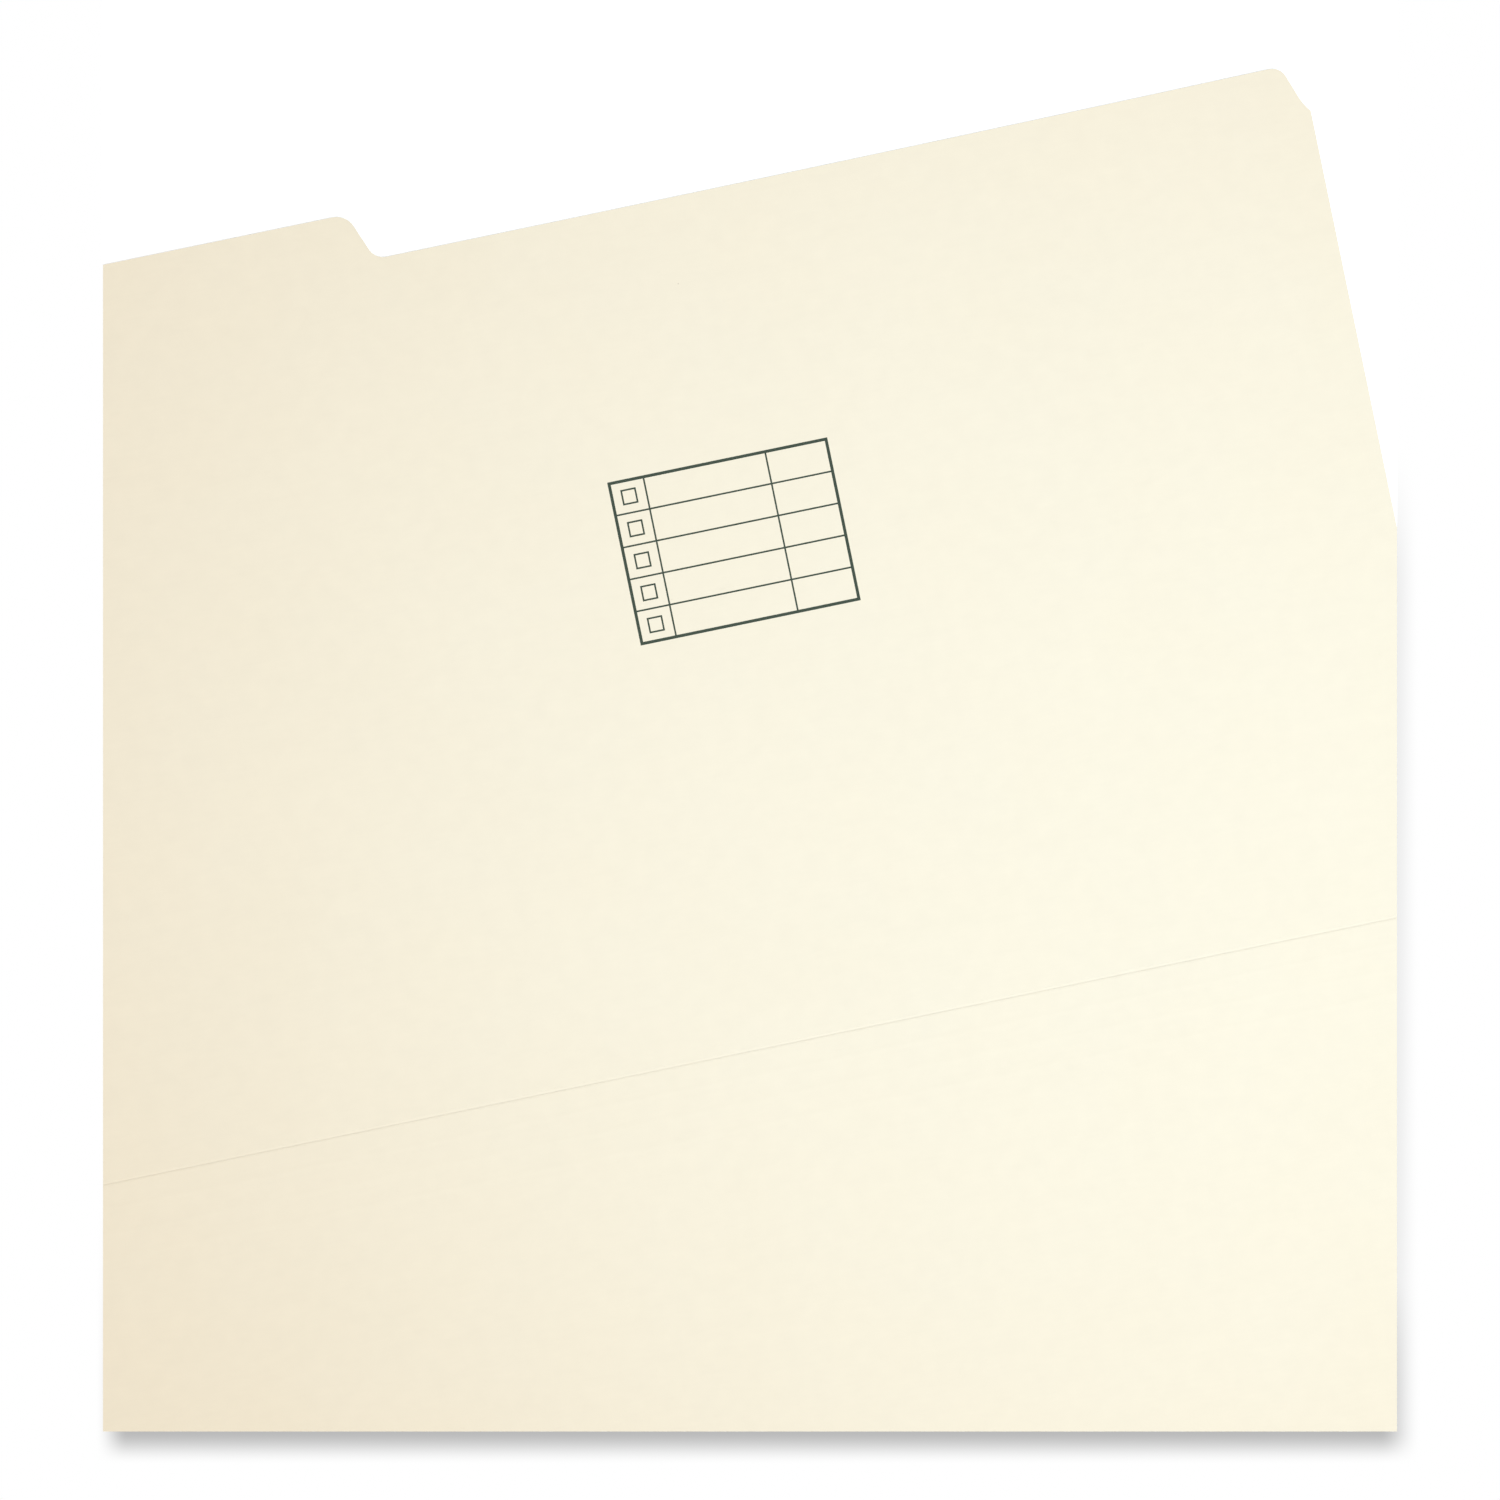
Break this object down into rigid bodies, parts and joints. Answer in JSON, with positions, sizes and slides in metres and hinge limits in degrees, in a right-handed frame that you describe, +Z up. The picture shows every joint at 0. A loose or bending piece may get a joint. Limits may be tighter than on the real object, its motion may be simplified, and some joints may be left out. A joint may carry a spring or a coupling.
{
  "type": "file folder",
  "caption": "Legal-size manila file folder lying open and flat, with an end tab and scored folds that close it round its papers.",
  "frame": {"origin": "middle of the opened sheet's underside, on the surface that it lies on", "axes": "+X along the fold scores, away from the tab's end of the sheet, +Y across the scores towards the tab's top edge, +Z up from the inside face"},
  "size_m": [0.3746, 0.4444, 0.0003],
  "materials": {
    "manila_board": "matte"
  },
  "bodies": {
    "rear_panel": {"rear_panel": "manila_board"},
    "expansion_strip_1": {"expansion_strip_1": "manila_board"},
    "expansion_strip_2": {"expansion_strip_2": "manila_board"},
    "expansion_strip_3": {"expansion_strip_3": "manila_board"},
    "front_panel": {"front_panel": "manila_board"}
  },
  "joints": [
    {"name": "main_fold", "type": "hinge", "parent": "rear_panel", "child": "expansion_strip_1", "pos_m": [0, -0.00953, 0.00018], "axis": [-1, 0, 0], "range_deg": [0, 90]},
    {"name": "expansion_fold_1", "type": "hinge", "parent": "expansion_strip_1", "child": "expansion_strip_2", "pos_m": [0, -0.01588, 0.00018], "axis": [-1, 0, 0], "range_deg": [0, 30]},
    {"name": "expansion_fold_2", "type": "hinge", "parent": "expansion_strip_2", "child": "expansion_strip_3", "pos_m": [0, -0.02223, 0.00018], "axis": [-1, 0, 0], "range_deg": [0, 30]},
    {"name": "expansion_fold_3", "type": "hinge", "parent": "expansion_strip_3", "child": "front_panel", "pos_m": [0, -0.02857, 0.00018], "axis": [-1, 0, 0], "range_deg": [0, 30]}
  ]
}
